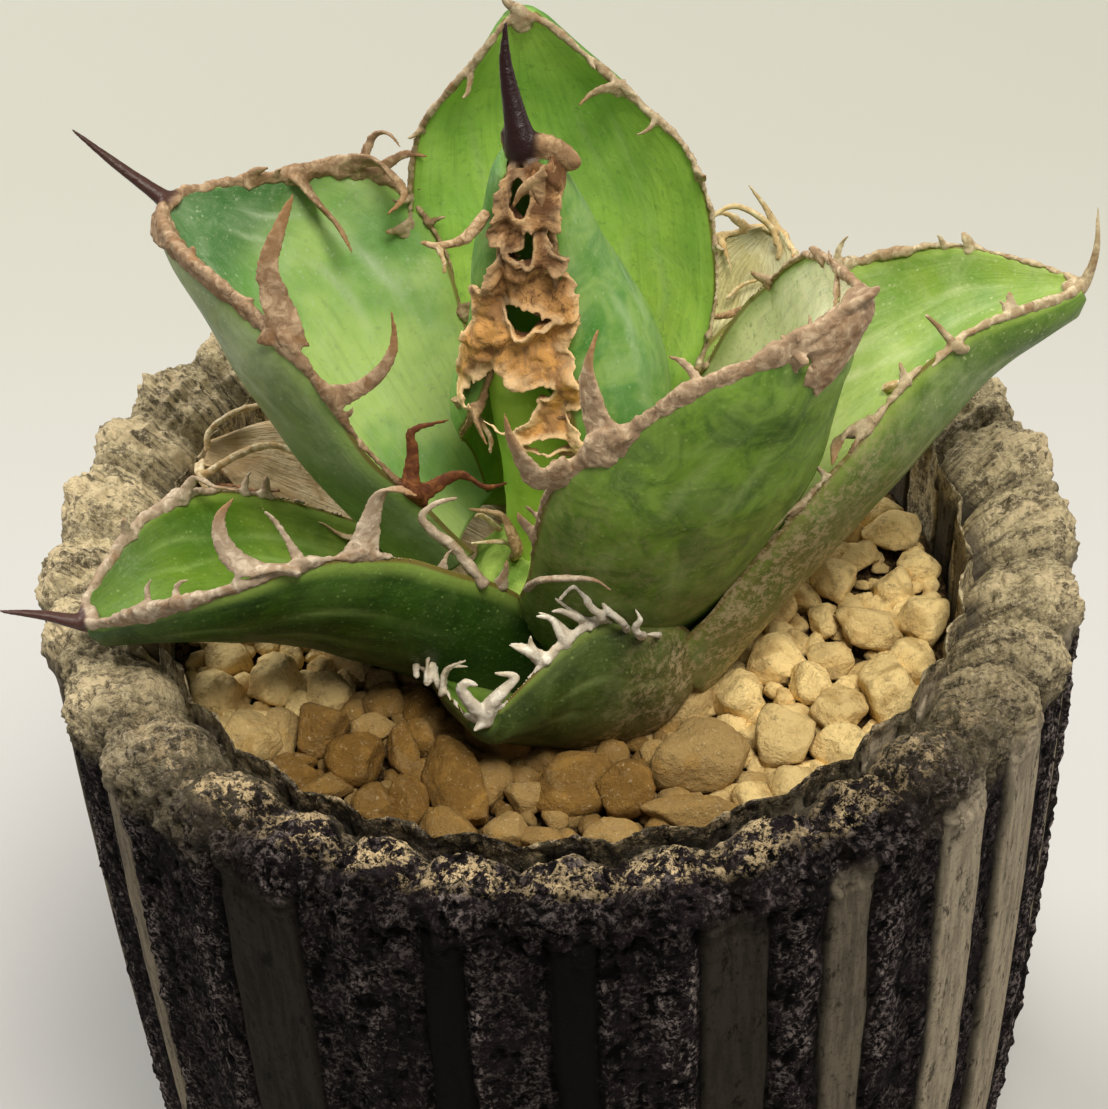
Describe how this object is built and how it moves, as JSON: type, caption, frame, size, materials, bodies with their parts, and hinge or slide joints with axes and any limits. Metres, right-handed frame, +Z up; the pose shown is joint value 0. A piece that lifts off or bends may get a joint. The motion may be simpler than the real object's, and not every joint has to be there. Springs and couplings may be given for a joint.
{
  "type": "potted agave",
  "caption": "Small rosette agave with thick channelled leaves and curled horny teeth, growing from gravel in a ribbed round pot with a rolled rough rim.",
  "frame": {"origin": "centre of the pot's flat underside", "axes": "+Z up, +X to the right and +Y to the back as the plant is seen in the picture"},
  "size_m": [0.1036, 0.0994, 0.1419],
  "materials": {
    "pot": "matte",
    "gravel": "matte",
    "stem": "matte",
    "bud": "satin",
    "blade_d": "satin",
    "margin_d": "matte",
    "blade_c": "satin",
    "margin_c": "matte",
    "blade_b": "satin",
    "margin_b": "matte",
    "blade_e": "satin",
    "margin_e": "matte",
    "blade_f": "satin",
    "margin_f": "matte",
    "blade_a": "satin",
    "margin_a": "matte",
    "blade_g": "matte",
    "margin_g": "matte",
    "blade_h": "satin",
    "margin_h": "matte",
    "blade_i": "matte"
  },
  "bodies": {
    "root": {"pot": "pot", "gravel": "gravel", "stem": "stem", "centre_bud": "bud", "leaf_d_blade": "blade_d", "leaf_d_margin": "margin_d", "leaf_c_blade": "blade_c", "leaf_c_margin": "margin_c", "leaf_b_blade": "blade_b", "leaf_b_margin": "margin_b", "leaf_e_blade": "blade_e", "leaf_e_margin": "margin_e", "leaf_f_blade": "blade_f", "leaf_f_margin": "margin_f", "leaf_a_blade": "blade_a", "leaf_a_margin": "margin_a", "leaf_g_blade": "blade_g", "leaf_g_margin": "margin_g", "leaf_h_blade": "blade_h", "leaf_h_margin": "margin_h", "leaf_i_blade": "blade_i"}
  },
  "joints": []
}
